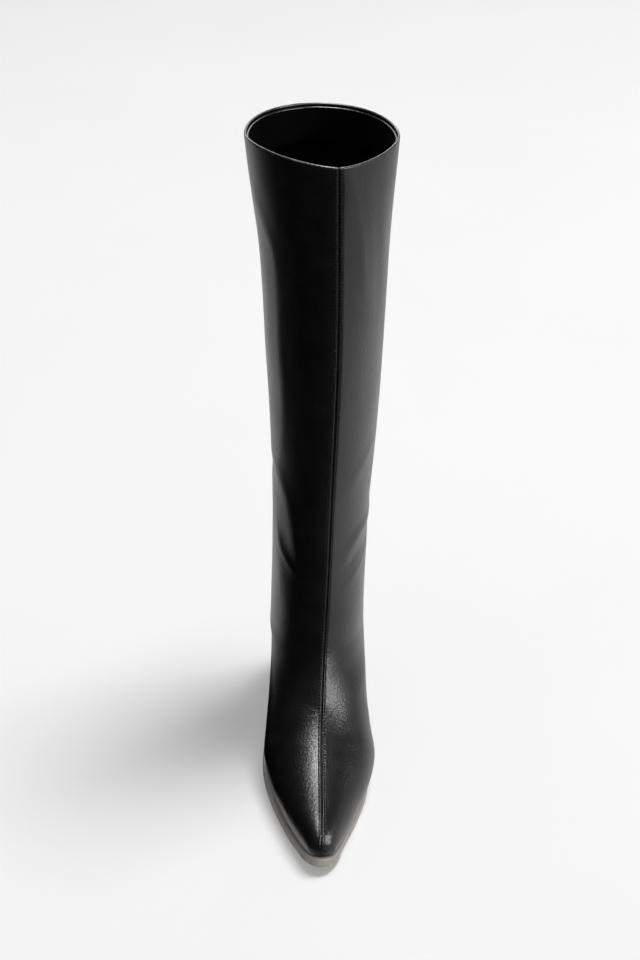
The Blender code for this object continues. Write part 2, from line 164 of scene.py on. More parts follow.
# Plan of the feather line: share of the foot's length from the toe, then each side's half width
Outline = namedtuple("Outline", "along medial lateral")
OUTLINE = (
    Outline(0.000, 0.000, 0.000),
    Outline(0.016, 0.185 * BALL_HALF, 0.185 * BALL_HALF),
    Outline(0.040, 0.285 * BALL_HALF, 0.285 * BALL_HALF),
    Outline(0.083, 0.385 * BALL_HALF, 0.385 * BALL_HALF),
    Outline(0.124, 0.487 * BALL_HALF, 0.487 * BALL_HALF),
    Outline(0.208, 0.668 * BALL_HALF, 0.690 * BALL_HALF),
    Outline(0.294, 0.832 * BALL_HALF, 0.862 * BALL_HALF),
    Outline(0.385, 0.948 * BALL_HALF, 0.958 * BALL_HALF),
    Outline(0.440, 0.971 * BALL_HALF, 0.975 * BALL_HALF),
    Outline(0.510, 0.925 * BALL_HALF, 0.950 * BALL_HALF),
    Outline(0.590, 0.790 * BALL_HALF, 0.880 * BALL_HALF),
    Outline(0.670, 0.905 * SEAT_HALF, 1.120 * SEAT_HALF),
    Outline(0.750, 0.875 * SEAT_HALF, 1.050 * SEAT_HALF),
    Outline(0.830, 0.940 * SEAT_HALF, 1.020 * SEAT_HALF),
    Outline(0.900, 0.960 * SEAT_HALF, 0.985 * SEAT_HALF),
    Outline(0.950, 0.840 * SEAT_HALF, 0.850 * SEAT_HALF),
    Outline(0.982, 0.560 * SEAT_HALF, 0.560 * SEAT_HALF),
    Outline(1.000, 0.000, 0.000),
)

# Sections of the shaft, from the collar down to the ankle. The columns mean the same as in the part's source.
Shaft = namedtuple("Shaft", "rise width depth lean sway seam ridge flank low")
SHAFT = (
    Shaft(1.000, 1.000, 1.000, 1.00, -0.075, 0.160, 1.34, 1.28, 0.96),
    Shaft(0.930, 0.895, 0.945, 0.93, -0.057, 0.180, 1.33, 1.25, 0.97),
    Shaft(0.850, 0.757, 0.885, 0.85, -0.031, 0.200, 1.32, 1.22, 0.98),
    Shaft(0.740, 0.580, 0.810, 0.75, 0.014, 0.225, 1.30, 1.19, 0.99),
    Shaft(0.610, 0.467, 0.700, 0.63, 0.049, 0.250, 1.28, 1.16, 1.00),
    Shaft(0.470, 0.379, 0.550, 0.50, 0.072, 0.262, 1.26, 1.14, 1.00),
    Shaft(0.320, 0.257, 0.360, 0.34, 0.100, 0.260, 1.24, 1.12, 1.00),
    Shaft(0.160, 0.127, 0.170, 0.16, 0.108, 0.248, 1.22, 1.10, 1.00),
    Shaft(0.000, 0.010, 0.000, 0.00, 0.094, 0.240, 1.20, 1.08, 1.00),
)

# Sections below the ankle, from the throat to the toe
Foot = namedtuple("Foot", "over throat vamp toe rise bulge turn medial lateral seam widest ridge flank low")
FOOT = (
    Foot(0.597, 0.760, 1.000, 0.000, 0.800, -2.20, 0.000, 0.826, 1.000, 0.216, 0.50, 1.20, 1.08, 1.00),
    Foot(0.587, 0.530, 1.000, 0.000, 0.570, -0.70, 0.000, 0.824, 0.996, 0.203, 0.50, 1.19, 1.08, 1.00),
    Foot(0.568, 0.350, 1.000, 0.000, 0.345, 0.60, 0.000, 0.828, 0.992, 0.185, 0.51, 1.18, 1.08, 0.98),
    Foot(0.542, 0.220, 1.000, 0.000, 0.165, 1.00, 0.000, 0.834, 0.992, 0.165, 0.52, 1.17, 1.08, 0.96),
    Foot(0.517, 0.135, 1.000, 0.000, 0.000, 0.00, 0.000, 0.842, 0.994, 0.148, 0.53, 1.16, 1.08, 0.94),
    Foot(0.503, 0.105, 1.000, 0.000, 0.000, 0.00, 0.064, 0.846, 0.996, 0.140, 0.54, 1.16, 1.08, 0.94),
    Foot(0.488, 0.078, 1.000, 0.000, 0.000, 0.00, 0.118, 0.850, 0.998, 0.132, 0.55, 1.16, 1.08, 0.94),
    Foot(0.466, 0.039, 1.000, 0.000, 0.000, 0.00, 0.183, 0.825, 1.000, 0.122, 0.57, 1.16, 1.08, 0.94),
    Foot(0.440, 0.000, 0.996, 0.000, 0.000, 0.00, 0.253, 0.830, 1.002, 0.112, 0.59, 1.16, 1.08, 0.94),
    Foot(0.410, 0.000, 0.912, 0.000, 0.000, 0.00, 0.328, 0.848, 1.007, 0.100, 0.62, 1.16, 1.08, 0.94),
    Foot(0.378, 0.000, 0.828, 0.000, 0.000, 0.00, 0.400, 0.887, 1.021, 0.092, 0.66, 1.15, 1.08, 0.95),
    Foot(0.343, 0.000, 0.754, 0.000, 0.000, 0.00, 0.465, 0.945, 1.080, 0.084, 0.69, 1.14, 1.08, 0.96),
    Foot(0.306, 0.000, 0.345, 0.760, 0.000, 0.00, 0.527, 0.985, 1.150, 0.077, 0.71, 1.12, 1.07, 0.98),
    Foot(0.266, 0.000, 0.160, 1.040, 0.000, 0.00, 0.585, 0.909, 1.080, 0.070, 0.72, 1.10, 1.06, 1.00),
    Foot(0.222, 0.000, 0.040, 1.170, 0.000, 0.00, 0.640, 0.824, 0.949, 0.064, 0.72, 1.08, 1.05, 1.00),
    Foot(0.174, 0.000, 0.000, 1.120, 0.000, 0.00, 0.694, 0.691, 0.785, 0.057, 0.71, 1.06, 1.04, 1.00),
    Foot(0.126, 0.000, 0.000, 0.985, 0.000, 0.00, 0.750, 0.569, 0.640, 0.050, 0.70, 1.04, 1.02, 1.00),
    Foot(0.083, 0.000, 0.000, 0.860, 0.000, 0.00, 0.802, 0.448, 0.515, 0.042, 0.69, 1.02, 1.00, 1.00),
    Foot(0.046, 0.000, 0.000, 0.715, 0.000, 0.00, 0.853, 0.340, 0.410, 0.032, 0.68, 1.00, 1.00, 1.00),
    Foot(0.018, 0.000, 0.000, 0.550, 0.000, 0.00, 0.900, 0.255, 0.320, 0.020, 0.66, 1.00, 1.00, 1.00),
    Foot(0.001, 0.000, 0.000, 0.380, 0.000, 0.00, 0.947, 0.170, 0.230, 0.010, 0.64, 1.00, 1.00, 1.00),
    Foot(-0.004, 0.000, 0.000, 0.250, 0.000, 0.00, 1.000, -0.026, 0.026, 0.026, 0.60, 1.00, 2.00, 2.00),
)

Section = namedtuple(
    "Section", "seam_along seam_up seam_x medial_x lateral_x back_x lean rise turn widest ridge flank low"
)

# Soft troughs and ridges in the leather, which go from point to point. A point is given in millimetres as the
# way down from the collar and the way around from the front seam, medial side negative. width and height are
# in millimetres too, and a trough's height is negative.
Fold = namedtuple("Fold", "width height points")
FOLDS = (
    # Long edge down the medial side of the shaft
    Fold(6.0, 0.60, ((30, -80), (44, -73), (72, -54), (89, -50), (116, -49), (148, -48), (172, -45),
                     (205, -43), (228, -45), (244, -54))),
    # Dent where the shaft gives at the ankle, and the fold that runs from it towards the front
    Fold(8.0, -1.00, ((250, -84), (253, -70), (258, -58))),
    Fold(8.0, 0.88, ((244, -72), (254, -50), (268, -38), (290, -30), (314, -24), (334, -20))),
    Fold(6.0, -0.30, ((296, -44), (308, -39), (320, -34), (330, -30))),
    Fold(3.6, 0.62, ((300, -52), (318, -45), (326, -37), (333, -28), (337, -19))),
    Fold(6.0, 0.40, ((314, -50), (335, -46), (362, -47))),
    # Soft folds on the lateral side of the ankle
    Fold(6.0, 0.45, ((218, 56), (230, 39), (240, 24), (258, 12))),
    Fold(6.0, 1.00, ((286, 64), (295, 50), (299, 31), (308, 18), (320, 11))),
    Fold(4.0, -0.45, ((300, 60), (314, 46), (318, 27), (326, 15))),
    Fold(5.0, 0.45, ((322, 56), (329, 42), (334, 29), (344, 17))),
    # Pull beside the seam under the collar
    Fold(4.6, 0.95, ((-14, 4), (12, 7), (35, 12), (60, 17), (95, 21))),
    Fold(7.0, -0.45, ((5, 32), (31, 34), (76, 37), (125, 38))),
)


def smooth_curve(xs, ys):
    """y(x) through the points, with each slope taken from the parabola through three neighbours."""
    steps = [b - a for a, b in zip(xs, xs[1:])]
    rises = [(b - a) / step for a, b, step in zip(ys, ys[1:], steps)]
    slopes = [
        (rises[i - 1] * steps[i] + rises[i] * steps[i - 1]) / (steps[i - 1] + steps[i])
        for i in range(1, len(steps))
    ]
    slopes = [2 * rises[0] - slopes[0], *slopes, 2 * rises[-1] - slopes[-1]]

    def value(x):
        i = 0
        while i < len(steps) - 1 and x > xs[i + 1]:
            i += 1
        t = min(max((x - xs[i]) / steps[i], 0.0), 1.0)
        start = ys[i] * (1 + 2 * t) * (1 - t) ** 2 + slopes[i] * steps[i] * t * (1 - t) ** 2
        end = ys[i + 1] * t * t * (3 - 2 * t) - slopes[i + 1] * steps[i] * t * t * (1 - t)
        return start + end

    return value


squared_medial = smooth_curve([row.along for row in OUTLINE], [row.medial**2 for row in OUTLINE])
squared_lateral = smooth_curve([row.along for row in OUTLINE], [row.lateral**2 for row in OUTLINE])


def foot_axis(along):
    return TOE_SET + (HEEL_SET - TOE_SET) * along / FOOT_LENGTH


def feather_x(along, side):
    squared = squared_medial if side < 0 else squared_lateral
    return foot_axis(along) + side * math.sqrt(max(squared(along / FOOT_LENGTH), 0.0))


def sole_height(along):
    """Height of the outsole's upper face: toe spring, tread, arch and then the sloping seat."""
    tread_start, tread_end = TREAD_START * FOOT_LENGTH, TREAD_END * FOOT_LENGTH
    breast = FOOT_LENGTH - SEAT_LENGTH
    seat_slope = math.tan(SEAT_PITCH)
    if along >= breast:
        return SEAT_TOP - (FOOT_LENGTH - along) * seat_slope
    if along > tread_end:
        span = breast - tread_end
        t = (along - tread_end) / span
        climb = SEAT_TOP - SEAT_LENGTH * seat_slope - SOLE_THICKNESS
        return SOLE_THICKNESS + climb * t * t * (3 - 2 * t) - seat_slope * span * t * t * (1 - t)
    if along < tread_start:
        return SOLE_THICKNESS + TOE_SPRING * ((tread_start - along) / tread_start) ** 2
    return SOLE_THICKNESS


def lifted(along, lift):
    """Height of a point that lies over the outsole's upper face by lift, measured at right angles to it."""
    slope = (sole_height(along + NUDGE) - sole_height(along - NUDGE)) / (2 * NUDGE)
    return sole_height(along) + lift * math.hypot(1.0, slope)


def world(x, along, height):
    return Vector((x - HEEL_SET, along - HEEL_FOOT_MIDDLE, height))


def shaft_section(row):
    half_width = (ANKLE_WIDTH + (COLLAR_WIDTH - ANKLE_WIDTH) * row.width) / 2
    depth = ANKLE_DEPTH + (COLLAR_DEPTH - ANKLE_DEPTH) * row.depth
    setback = ANKLE_SETBACK + (COLLAR_SETBACK - ANKLE_SETBACK) * row.lean
    level = ANKLE_LEVEL + SHAFT_HEIGHT * row.rise
    tilt = COLLAR_SLOPE / 2 * row.rise
    middle = ANKLE_HALF * row.sway
    return Section(
        seam_along=FOOT_LENGTH - setback - depth,
        seam_up=level + tilt,
        seam_x=ANKLE_HALF * row.seam,
        medial_x=middle - half_width,
        lateral_x=middle + half_width,
        back_x=middle,
        lean=-setback,
        rise=level - tilt - SEAT_TOP,
        turn=0.0,
        widest=0.5,
        ridge=row.ridge,
        flank=row.flank,
        low=row.low,
    )


def foot_section(row):
    along = row.over * FOOT_LENGTH
    instep_up = sole_height(along) + row.vamp * INSTEP_HEIGHT + row.toe * TOE_HEIGHT
    return Section(
        seam_along=along,
        seam_up=instep_up + row.throat * (ANKLE_LEVEL - instep_up),
        seam_x=BALL_HALF * row.seam,
        medial_x=-BALL_HALF * row.medial,
        lateral_x=BALL_HALF * row.lateral,
        back_x=foot_axis(FOOT_LENGTH),
        lean=COUNTER_BULGE * row.bulge,
        rise=ANKLE_RISE * row.rise,
        turn=row.turn,
        widest=row.widest,
        ridge=row.ridge,
        flank=row.flank,
        low=row.low,
    )


def low_along(section):
    return FOOT_LENGTH * (1 + math.cos(math.pi * section.turn)) / 2


def low_ends(section):
    """The section's medial and lateral low ends, which are one point while it ends on the heel's back."""
    along = low_along(section)
    height = lifted(along, JOIN_GAP)
    if section.turn > 0:
        return [world(feather_x(along, side), along, height) for side in (-1, 1)]
    return [world(section.back_x, along + section.lean, height + section.rise)] * 2


def seam_point(section):
    return world(section.seam_x, section.seam_along, section.seam_up)


KEY_SECTIONS = [shaft_section(row) for row in SHAFT] + [foot_section(row) for row in FOOT]
HEEL_CORNER = len(SHAFT) + max(i for i, row in enumerate(FOOT) if row.turn == 0)


def distances_from_collar(sections):
    places = [0.0]
    for a, b in zip(sections, sections[1:]):
        front = (seam_point(b) - seam_point(a)).length
        low = (low_ends(b)[0] - low_ends(a)[0]).length
        places.append(places[-1] + (front + low) / 2)
    return places


KEY_PLACES = distances_from_collar(KEY_SECTIONS)
KEY_CURVES = [smooth_curve(KEY_PLACES, column) for column in zip(*KEY_SECTIONS)]


def section_at(place):
    """The section that lies this far down from the collar."""
    section = Section(*(curve(place) for curve in KEY_CURVES))
    if place <= KEY_PLACES[HEEL_CORNER]:
        return section._replace(turn=0.0, rise=max(section.rise, 0.0))
    return section._replace(turn=min(max(section.turn, 0.0), 1.0))


def half_section(section, side):
    """Close points on one half of a section of the outer face, from the seam to the low end."""
    seam = np.array(seam_point(section))
    low_end = np.array(low_ends(section)[(side + 1) // 2])
    run = np.array((0.0, low_end[1] - seam[1], low_end[2] - seam[2]))
    widest = np.array(((section.medial_x if side < 0 else section.lateral_x) - HEEL_SET, seam[1], seam[2]))
    widest = widest + run * section.widest
    turn = np.linspace(0, math.pi / 2, CURVE_POINTS)[:, None]
    cosine = np.clip(np.cos(turn), 0.0, 1.0)
    over = seam + run * section.widest * (1 - cosine**section.flank)
    over[:, :1] = seam[0] + (widest[0] - seam[0]) * np.sin(turn) ** section.ridge
    under = widest + (low_end - widest) * np.sin(turn) ** section.low
    under[:, :1] = low_end[0] + (widest[0] - low_end[0]) * cosine**section.low
    return np.concatenate((over, under[1:]))


def spaced(points, near, count, far):
    """The curve's points at given ways from its start, at given ways from its end, and evenly in between.

    On a curve shorter than CROWDED_LENGTH the given ways shrink with it.
    """
    ways = np.concatenate(((0.0,), np.cumsum(np.linalg.norm(np.diff(points, axis=0), axis=1))))
    length = ways[-1]
    shrink = min(1.0, length / CROWDED_LENGTH)
    start, end = np.array(near) * shrink, length - np.array(far) * shrink
    wanted = np.concatenate((start, np.linspace(start[-1], end[0], count + 1)[1:-1], end))
    return np.stack([np.interp(wanted, ways, points[:, i]) for i in range(3)], axis=1), wanted


# Ways from the seam and from the feather line at which columns of the upper's mesh run
NEAR_SEAM = np.array((0.0, 0.2, 0.4, 0.6, 0.8, 1.0, 1.25, 1.5, 1.75, 2.0, 2.25, 2.55, 3.0, 3.8)) * MM
NEAR_EDGE = np.array((1.4, 0.9, 0.5, 0.2, 0.0)) * MM


def outer_grid(places):
    """Points of the outer face, in rows down from the collar and from the medial end to the lateral end.

    ways has each point's way around from the seam, medial side negative.
    """
    points, ways = [], []
    for place in places:
        section = section_at(place)
        medial, medial_ways = spaced(half_section(section, -1), NEAR_SEAM, SIDE_COLUMNS, NEAR_EDGE)
        lateral, lateral_ways = spaced(half_section(section, 1), NEAR_SEAM, SIDE_COLUMNS, NEAR_EDGE)
        points.append(np.concatenate((medial[:0:-1], lateral)))
        ways.append(np.concatenate((-medial_ways[:0:-1], lateral_ways)))
    return np.array(points), np.array(ways)


def grid_normals(points, closed_rows):
    """Outward normals of a grid; in the first closed_rows rows the first and last points are one."""
    down = np.gradient(points, axis=0)
    across = np.gradient(points, axis=1)
    joined = points[:closed_rows, 1] - points[:closed_rows, -2]
    across[:closed_rows, 0] = across[:closed_rows, -1] = joined / 2
    normals = np.cross(down, across)
    size = np.linalg.norm(normals, axis=2, keepdims=True)
    normals /= np.maximum(size, 1e-12)
    # The last rows shrink to one point at the toe
    normals[-1] = normals[-3]
    normals[-2] = normals[-3]
    return normals


def bump(x, width):
    return np.exp(-((x / width) ** 2))


def fold_heights(places, ways):
    """How far the folds lift each point of the grid."""
    down = np.broadcast_to(places[:, None], ways.shape)
    total = np.zeros(ways.shape)
    for fold in FOLDS:
        width = fold.width * MM
        corners = [np.array(point) * MM for point in fold.points]
        lengths = [np.linalg.norm(b - a) for a, b in zip(corners, corners[1:])]
        whole = sum(lengths)
        nearest = np.full(ways.shape, 1.0)
        along = np.zeros(ways.shape)
        passed = 0.0
        for a, b, length in zip(corners, corners[1:], lengths):
            step = (b - a) / length
            t = (down - a[0]) * step[0] + (ways - a[1]) * step[1]
            t = np.clip(t, 0.0, length)
            gap = np.hypot(down - a[0] - t * step[0], ways - a[1] - t * step[1])
            closer = gap < nearest
            nearest = np.where(closer, gap, nearest)
            along = np.where(closer, (passed + t) / whole, along)
            passed += length
        taper = np.clip(4 * along * (1 - along), 0.0, 1.0) ** 0.6
        total += fold.height * MM * bump(nearest, width) * (0.15 + 0.85 * taper)
    return total


def panel_heights(places, ways):
    """How far the lateral panel swells beside the seam at the top and falls away lower down."""
    swell = np.clip(places / PANEL_END_FADE, 0.0, 1.0) * np.clip((SWELL_END - places) / SWELL_FADE, 0.0, 1.0)
    share = np.clip((places - FALL_START) / (FALL_FULL - FALL_START), 0.0, 1.0)[:, None]
    end = np.clip((KEY_PLACES[-1] - places) / PANEL_END_FADE, 0.0, 1.0)[:, None]
    beside = np.maximum(ways, 0.0) / FALL_WIDTH
    fall = FALL_DEPTH * math.e * beside * np.exp(-beside) * share * end
    beside = np.maximum(ways, 0.0) / SWELL_WIDTH
    return SWELL_HEIGHT * math.e * beside * np.exp(-beside) * swell[:, None] - fall


def seam_heights(seam_run, ways, fade, end_run):
    """Relief of the front seam: sunk line, lips, a dimple at each needle hole and the shoulders beside it."""
    beside = np.abs(ways)
    phase = 2 * math.pi * seam_run[:, None] / STITCH_PITCH
    holes = (0.5 + 0.5 * np.cos(phase)) ** 2
    sewn = np.clip((end_run - seam_run[:, None]) / STITCH_PITCH + 0.5, 0.0, 1.0)
    line = -SEAM_DEPTH * bump(beside, SEAM_WIDTH / 2) * (0.35 + 0.65 * sewn)
    lips = LIP_RISE * bump(beside - LIP_PLACE, LIP_WIDTH) * (1.0 - 0.35 * holes)
    dimples = -STITCH_DIMPLE * bump(beside - STITCH_OFFSET, DIMPLE_WIDTH) * sewn * (0.30 + 0.70 * holes)
    shoulders = SHOULDER_RISE * bump(beside - SHOULDER_PLACE, SHOULDER_WIDTH) * holes * sewn
    return (line + lips + dimples + shoulders) * fade[:, None]


def make_mesh(name, verts, faces, material, smooth=True):
    mesh = bpy.data.meshes.new(name)
    mesh.from_pydata([tuple(vert) for vert in verts], [], faces)
    mesh.materials.append(material)
    if smooth:
        mesh.shade_smooth()
    obj = bpy.data.objects.new(name, mesh)
    bpy.context.scene.collection.objects.link(obj)
    return obj


def merged(obj, distance=1e-6):
    """Makes coinciding points one and drops what has no area."""
    parts = bmesh.new()
    parts.from_mesh(obj.data)
    bmesh.ops.remove_doubles(parts, verts=parts.verts, dist=distance)
    bmesh.ops.dissolve_degenerate(parts, edges=parts.edges, dist=1e-7)
    parts.to_mesh(obj.data)
    parts.free()
    obj.data.shade_smooth()
    return obj


def inner_faces(rows, columns):
    """Faces, seen from inside the boot, between the rows of a grid whose points are numbered row by row."""
    faces = []
    for r in range(rows - 1):
        for c in range(columns - 1):
            a = r * columns + c
            faces.append((a + 1, a + columns + 1, a + columns, a))
    return faces


def principled(name, colour, roughness):
    material = bpy.data.materials.new(name)
    material.use_nodes = True
    shader = material.node_tree.nodes["Principled BSDF"]
    shader.inputs["Base Color"].default_value = (*colour, 1)
    shader.inputs["Roughness"].default_value = roughness
    return material, material.node_tree, shader


def noise(tree, scale, detail=3.0, roughness=0.5, stretch=(1, 1, 1)):
    place = tree.nodes.new("ShaderNodeTexCoord")
    mapping = tree.nodes.new("ShaderNodeMapping")
    mapping.inputs["Scale"].default_value = stretch
    texture = tree.nodes.new("ShaderNodeTexNoise")
    texture.inputs["Scale"].default_value = scale
    texture.inputs["Detail"].default_value = detail
    texture.inputs["Roughness"].default_value = roughness
    tree.links.new(place.outputs["Object"], mapping.inputs["Vector"])
    tree.links.new(mapping.outputs["Vector"], texture.inputs["Vector"])
    return texture.outputs["Fac"]


def cells(tree, scale):
    """Distance to the edges between small cells."""
    place = tree.nodes.new("ShaderNodeTexCoord")
    texture = tree.nodes.new("ShaderNodeTexVoronoi")
    texture.feature = "DISTANCE_TO_EDGE"
    texture.inputs["Scale"].default_value = scale
    tree.links.new(place.outputs["Object"], texture.inputs["Vector"])
    return texture.outputs["Distance"]


def ramp(tree, value, low, high, start, end):
    """A number that goes from start to end while value goes from low to high."""
    change = tree.nodes.new("ShaderNodeMapRange")
    change.inputs["From Min"].default_value = low
    change.inputs["From Max"].default_value = high
    change.inputs["To Min"].default_value = start
    change.inputs["To Max"].default_value = end
    tree.links.new(value, change.inputs["Value"])
    return change.outputs["Result"]


def colours(tree, value, stops):
    blend = tree.nodes.new("ShaderNodeValToRGB")
    blend.color_ramp.elements.remove(blend.color_ramp.elements[1])
    for i, (place, colour) in enumerate(stops):
        stop = blend.color_ramp.elements[0] if i == 0 else blend.color_ramp.elements.new(place)
        stop.position = place
        stop.color = (*colour, 1)
    tree.links.new(value, blend.inputs["Fac"])
    return blend.outputs["Color"]


def mottle(tree, shader, stops, scale, detail=3.0, roughness=0.5):
    """Colour that drifts between the stops."""
    value = noise(tree, scale, detail, roughness)
    tree.links.new(colours(tree, value, stops), shader.inputs["Base Color"])


def summed(tree, a, b, share):
    add = tree.nodes.new("ShaderNodeMath")
    add.operation = "MULTIPLY_ADD"
    tree.links.new(b, add.inputs[0])
    add.inputs[1].default_value = share
    tree.links.new(a, add.inputs[2])
    return add.outputs["Value"]


def add_relief(tree, shader, height, depth, strength=1.0):
    relief = tree.nodes.new("ShaderNodeBump")
    relief.inputs["Strength"].default_value = strength
    relief.inputs["Distance"].default_value = depth
    tree.links.new(height, relief.inputs["Height"])
    tree.links.new(relief.outputs["Normal"], shader.inputs["Normal"])


def leather_material(name, colour, lighter, roughness, specular=0.5):
    """Smooth leather: fine pores, a faint mottle in the colour, and polish that comes and goes."""
    material, tree, shader = principled(name, colour, roughness)
    shader.inputs["Specular IOR Level"].default_value = specular
    mottle(tree, shader, [(0.35, colour), (0.75, lighter)], 60, 4, 0.6)
    polish = noise(tree, 35, 3, 0.55, (1, 1, 0.4))
    shine = ramp(tree, polish, 0.3, 0.7, roughness - 0.03, roughness + 0.05)
    tree.links.new(shine, shader.inputs["Roughness"])
    pores = summed(tree, noise(tree, 540, 2, 0.6), cells(tree, 900), 0.35)
    add_relief(tree, shader, pores, 0.00028, 0.90)
    return material


def rubber_material():
    """Light rubber of the sole, slightly dusty."""
    material, tree, shader = principled("sole_rubber", (0.175, 0.160, 0.147), 0.5)
    mottle(tree, shader, [(0.3, (0.155, 0.141, 0.129)), (0.7, (0.195, 0.178, 0.165))], 180, 4, 0.6)
    tree.links.new(ramp(tree, noise(tree, 90), 0.3, 0.7, 0.42, 0.56), shader.inputs["Roughness"])
    add_relief(tree, shader, noise(tree, 900, 3, 0.6), 0.00008, 0.25)
    return material


def tip_material():
    """Dark rubber of the heel's top piece."""
    material, tree, shader = principled("tip_rubber", (0.02, 0.019, 0.018), 0.6)
    mottle(tree, shader, [(0.3, (0.016, 0.015, 0.014)), (0.7, (0.030, 0.027, 0.025))], 400)
    add_relief(tree, shader, noise(tree, 1200), 0.00010, 0.3)
    return material


def thread_and_painted_seam_shade_material():
    """Matt black thread, which also paints the shade in the seam's sunk line."""
    material, tree, shader = principled("thread_and_painted_seam_shade", (0.004, 0.004, 0.004), 0.75)
    shader.inputs["Specular IOR Level"].default_value = 0.05
    mottle(tree, shader, [(0.3, (0.002, 0.002, 0.002)), (0.7, (0.006, 0.006, 0.006))], 3000)
    return material


leather = leather_material("upper_leather", (0.0018, 0.0018, 0.0021), (0.0036, 0.0036, 0.004), 0.31, 0.62)
# Rim leather: a real smoother polish, and a lighter colour that paints the highlight along the rim
rim_leather_painted_highlight = leather_material("rim_leather_painted_highlight", (0.010, 0.010, 0.010), (0.022, 0.021, 0.021), 0.20, 0.80)
# Black lining, near-black and nearly without gloss: it also paints the shade inside the boot
black_lining_painted_shade = leather_material(
    "black_lining_painted_shade", (0.0010, 0.0010, 0.0010), (0.0018, 0.0017, 0.0016), 0.8, 0.06
)
heel_cover = leather_material("heel_cover", (0.010, 0.0095, 0.009), (0.016, 0.015, 0.014), 0.36)
sole_rubber = rubber_material()
tip_rubber = tip_material()
thread_and_painted_seam_shade = thread_and_painted_seam_shade_material()


def make_upper():
    """The outer leather, rolled in at the collar's rim and turned in at the feather line."""
    count = math.ceil((KEY_PLACES[-1] - RIM_RADIUS) / PANEL_ROW) * FINE_ROWS
    places = RIM_RADIUS + (KEY_PLACES[-1] - RIM_RADIUS) * np.arange(count + 1) / count
    points, ways = outer_grid(places)
    closed = int(np.sum(places <= KEY_PLACES[HEEL_CORNER]))
    normals = grid_normals(points, closed)
    middle = points.shape[1] // 2
    steps = np.linalg.norm(np.diff(points[:, middle], axis=0), axis=1)
    seam_run = np.concatenate(((0.0,), np.cumsum(steps)))
    girths = ways[:, -1] - ways[:, 0]
    fade = np.clip(girths / SEAM_FADE_GIRTH, 0.0, 1.0)
    end_run = seam_run[-1] - STITCHES_END
    heights = seam_heights(seam_run, ways, fade, end_run)
    heights = heights + fold_heights(places, ways) + panel_heights(places, ways)
    # The lasting edge is rounded where it meets the sole
    edge = np.minimum(ways[:, -1:] - ways, ways - ways[:, :1])
    rounded = np.clip(1 - edge / EDGE_RADIUS, 0.0, 1.0)
    opened = np.clip((places - KEY_PLACES[HEEL_CORNER]) / EDGE_FADE, 0.0, 1.0)[:, None]
    heights -= EDGE_DROP * (1 - np.sqrt(1 - rounded**2)) * opened
    surface = points + normals * heights[:, :, None]

    # The seam's strip keeps every row, and the panels beside it every FINE_ROWS rows
    strip = len(NEAR_SEAM) - 1
    first, last = middle - strip, middle + strip
    columns = points.shape[1]
    verts, faces, kinds, number = [], [], [], {}

    def vert(row, column):
        key = (row, column)
        if key not in number:
            number[key] = len(verts)
            verts.append(surface[row, column])
        return number[key]

    for row in range(0, count, FINE_ROWS):
        lower = row + FINE_ROWS
        for column in range(columns - 1):
            if first <= column < last:
                for r in range(row, lower):
                    faces.append(
                        (vert(r, column), vert(r + 1, column), vert(r + 1, column + 1), vert(r, column + 1))
                    )
                    # The sunk line's two middle columns take the matt black, as painted shade in the seam's
                    # crease
                    sunk = column in (middle - 1, middle) and seam_run[r] < end_run
                    kinds.append(PAINTED_SEAM_SHADE_FACE if sunk else LEATHER_FACE)
            elif column == first - 1:
                side = [vert(r, first) for r in range(lower, row - 1, -1)]
                faces.append((vert(row, column), vert(lower, column), *side))
                kinds.append(LEATHER_FACE)
            elif column == last:
                side = [vert(r, last) for r in range(row, lower + 1)]
                faces.append((*side, vert(lower, column + 1), vert(row, column + 1)))
                kinds.append(LEATHER_FACE)
            else:
                faces.append(
                    (vert(row, column), vert(lower, column), vert(lower, column + 1), vert(row, column + 1))
                )
                kinds.append(LEATHER_FACE)

    # Rim: the outer face rolls over the top and goes down inside, behind the facing; its lighter leather
    # paints a highlight
    up = points[0] - points[FINE_ROWS]
    up /= np.linalg.norm(up, axis=1, keepdims=True)
    previous = [vert(0, column) for column in range(columns)]
    seam_dip = heights[0][:, None]
    for angle in [*np.linspace(0, math.pi, RIM_STEPS + 1)[1:], None]:
        if angle is None:
            ring = points[0] - normals[0] * 2 * RIM_RADIUS - up * RIM_RETURN
        else:
            inward = RIM_RADIUS * (1 - math.cos(angle))
            ring = points[0] - normals[0] * inward + up * RIM_RADIUS * math.sin(angle)
            ring = ring + normals[0] * seam_dip * math.cos(angle / 2) + up * seam_dip * math.sin(angle) * 0.5
        start = len(verts)
        verts.extend(ring)
        current = list(range(start, start + columns))
        for c in range(columns - 1):
            faces.append((current[c], previous[c], previous[c + 1], current[c + 1]))
            kinds.append(EDGE_FACE)
        previous = current

    # Lasting edge: a flange that goes in under the lining
    start = math.ceil((closed + FINE_ROWS) / FINE_ROWS) * FINE_ROWS
    for column in (0, columns - 1):
        flange = {}
        for row in range(start, count + 1, FINE_ROWS):
            flange[row] = len(verts)
            inward = points[row].mean(axis=0) - points[row, column]
            inward[2] = 0.0
            size = max(np.linalg.norm(inward), 1e-9)
            verts.append(surface[row, column] + inward / size * min(FLANGE_WIDTH, size * 0.5))
        for a, b in zip(flange, list(flange)[1:]):
            face = (vert(a, column), flange[a], flange[b], vert(b, column))
            faces.append(face if column == 0 else face[::-1])
            kinds.append(LEATHER_FACE)
    obj = make_mesh("upper_leather", verts, faces, leather)
    obj.data.materials.append(rim_leather_painted_highlight)
    obj.data.materials.append(thread_and_painted_seam_shade)
    obj.data.polygons.foreach_set("material_index", kinds)
    return merged(obj), points, normals, surface, seam_run, end_run


